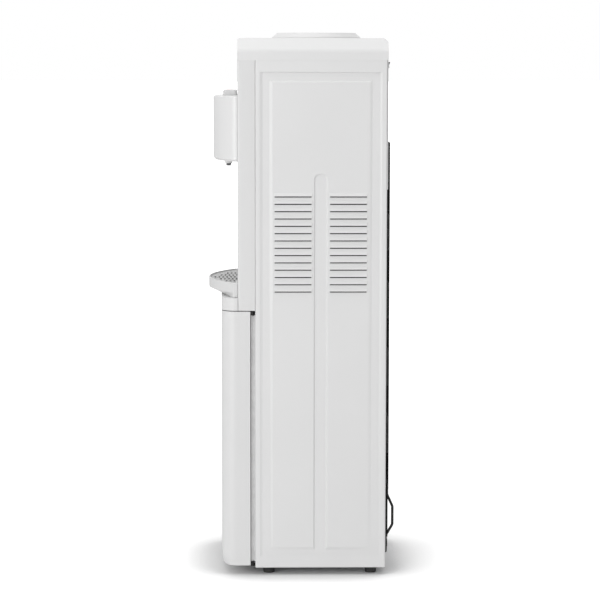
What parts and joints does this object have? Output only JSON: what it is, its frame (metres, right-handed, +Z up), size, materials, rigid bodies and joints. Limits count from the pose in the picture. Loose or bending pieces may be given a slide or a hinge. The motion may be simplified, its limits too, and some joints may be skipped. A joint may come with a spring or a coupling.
{
  "type": "water dispenser",
  "caption": "Free-standing water dispenser with a bottle seat on top, push-button taps over a drip tray, a storage cupboard below and a cooling circuit behind.",
  "frame": {"origin": "centre of the bounding box's base, on the floor", "axes": "+Z up, -Y towards the user, +X towards the hinged side of the storage door"},
  "size_m": [0.3156, 0.3419, 0.9891],
  "materials": {
    "black_plastic": "black moulding",
    "black_plastic.001": "black moulding",
    "black_plastic.002": "black moulding",
    "black_plastic.003": "black moulding",
    "black_plastic.004": "black moulding",
    "black_steel": "black enamel",
    "black_steel.001": "black enamel",
    "black_steel.002": "black enamel",
    "black_steel.003": "black enamel",
    "black_steel.004": "black enamel",
    "black_steel.005": "black enamel",
    "black_steel.006": "black enamel",
    "blue_plastic": "blue moulding",
    "blue_plastic.001": "blue moulding",
    "copper": null,
    "copper.001": null,
    "copper.002": null,
    "foam": null,
    "green_plastic": "green moulding",
    "grey_plastic": "fine-grained grey moulding",
    "grey_plastic.001": "fine-grained grey moulding",
    "grey_plastic.002": "fine-grained grey moulding",
    "grey_plastic.003": "fine-grained grey moulding",
    "red_plastic": "red moulding",
    "red_plastic.001": "red moulding",
    "rubber": "black rubber",
    "rubber.001": "black rubber",
    "rubber.002": "black rubber",
    "rubber.003": "black rubber",
    "rubber.004": "black rubber",
    "silicone": "translucent pale silicone",
    "silicone.001": "translucent pale silicone",
    "silicone.002": "translucent pale silicone",
    "silicone.003": "translucent pale silicone",
    "silicone.004": "translucent pale silicone",
    "stainless": "plain stainless sheet",
    "stainless.001": "plain stainless sheet",
    "stainless.002": "plain stainless sheet",
    "stainless.003": "plain stainless sheet",
    "stainless.004": "plain stainless sheet",
    "white_plastic": "satin white moulding",
    "white_plastic.001": "satin white moulding",
    "white_plastic.002": "satin white moulding",
    "white_plastic.003": "satin white moulding",
    "white_plastic.004": "satin white moulding",
    "white_plastic.005": "satin white moulding",
    "white_plastic.006": "satin white moulding",
    "white_plastic.007": "satin white moulding",
    "white_plastic.008": "satin white moulding",
    "white_plastic.009": "satin white moulding",
    "white_plastic.010": "satin white moulding",
    "white_plastic.011": "satin white moulding",
    "white_plastic.012": "satin white moulding",
    "white_steel": "satin white powder coat",
    "white_steel.001": "satin white powder coat",
    "zinc_steel": "bright zinc plating",
    "zinc_steel.001": "bright zinc plating",
    "zinc_steel.002": "bright zinc plating"
  },
  "bodies": {
    "cabinet": {"back_panel": "white_steel.001", "base_pan": "zinc_steel", "bottle_collar": "white_plastic.003", "bottle_well": "white_plastic.004", "cabinet_liner": "white_plastic", "cold_insulation": "foam", "cold_tank": "stainless.003", "compressor": "black_steel.005", "condenser": "black_steel.004", "cord_gland": "black_plastic.004", "discharge_line": "black_steel.006", "evaporator_coil": "copper.002", "feed_probe": "blue_plastic", "filter_drier": "copper.001", "foot_front_left": "rubber.002", "foot_front_right": "rubber", "foot_rear_left": "rubber.003", "foot_rear_right": "rubber.001", "front_fascia": "white_plastic.005", "hinge_lower": "black_steel.003", "hinge_upper": "black_steel.002", "hose_cold": "silicone", "hose_drain": "silicone.004", "hose_feed": "silicone.003", "hose_hot": "silicone.002", "hose_room": "silicone.001", "hot_tank": "stainless.004", "lamp_cooling": "blue_plastic.001", "lamp_heating": "red_plastic", "lamp_power": "green_plastic", "magnetic_catch": "black_plastic.002", "side_panel_left": "white_steel", "side_panel_right": "white_steel", "spring_cold": "stainless", "spring_hot": "stainless.002", "spring_room": "stainless.001", "suction_line": "copper", "tank_shelf": "zinc_steel.002", "tap_cold": "white_plastic.007", "tap_hot": "white_plastic.009", "tap_housing": "white_plastic.006", "tap_room": "white_plastic.008", "terminal_cover": "black_plastic.003", "top_cover": "white_plastic.002", "upper_back_cover": "white_plastic.001"},
    "door": {"storage_door": "white_plastic.011", "door_liner": "white_plastic.012", "hinge_knuckle_upper": "black_steel", "hinge_knuckle_lower": "black_steel.001", "catch_strike": "zinc_steel.001"},
    "button_cold": {"button_cold": "grey_plastic"},
    "button_room": {"button_room": "grey_plastic.001"},
    "button_hot": {"button_hot": "grey_plastic.002"},
    "hot_lock": {"hot_lock": "red_plastic.001"},
    "drip_tray": {"drip_tray": "white_plastic.010"},
    "drip_grille": {"drip_grille": "grey_plastic.003"},
    "rocker_hot": {"rocker_hot": "black_plastic"},
    "rocker_cold": {"rocker_cold": "black_plastic.001"},
    "drain_plug": {"drain_plug": "rubber.004"}
  },
  "joints": [
    {"name": "door_hinge", "type": "hinge", "parent": "cabinet", "child": "door", "pos_m": [0.151, -0.0898, 0.25], "axis": [0, 0, 1], "range_deg": [0, 105]},
    {"name": "button_cold_press", "type": "slide", "parent": "cabinet", "child": "button_cold", "axis": [0, 0, -1], "range_m": [0, 0.005], "stiffness_N_per_m": 300, "springref_m": -0.003, "deforming": ["spring_cold"]},
    {"name": "button_room_press", "type": "slide", "parent": "cabinet", "child": "button_room", "axis": [0, 0, -1], "range_m": [0, 0.005], "stiffness_N_per_m": 300, "springref_m": -0.003, "deforming": ["spring_room"]},
    {"name": "button_hot_press", "type": "slide", "parent": "cabinet", "child": "button_hot", "axis": [0, 0, -1], "range_m": [0, 0.005], "stiffness_N_per_m": 300, "springref_m": -0.003, "deforming": ["spring_hot"]},
    {"name": "hot_lock_slide", "type": "slide", "parent": "button_hot", "child": "hot_lock", "axis": [0, 1, 0], "range_m": [0, 0.004], "stiffness_N_per_m": 60, "springref_m": -0.002},
    {"name": "drip_tray_slide", "type": "slide", "parent": "cabinet", "child": "drip_tray", "axis": [0, -1, 0], "range_m": [0, 0.095]},
    {"name": "drip_grille_lift", "type": "slide", "parent": "drip_tray", "child": "drip_grille", "axis": [0, 0, 1], "range_m": [0, 0.04]},
    {"name": "rocker_hot_tilt", "type": "hinge", "parent": "cabinet", "child": "rocker_hot", "pos_m": [0.112, 0.1549, 0.9306], "axis": [1, 0, 0], "range_deg": [0, 18]},
    {"name": "rocker_cold_tilt", "type": "hinge", "parent": "cabinet", "child": "rocker_cold", "pos_m": [0.082, 0.1549, 0.9306], "axis": [1, 0, 0], "range_deg": [0, 18]},
    {"name": "drain_plug_pull", "type": "slide", "parent": "cabinet", "child": "drain_plug", "axis": [0, 1, 0], "range_m": [0, 0.02]}
  ]
}
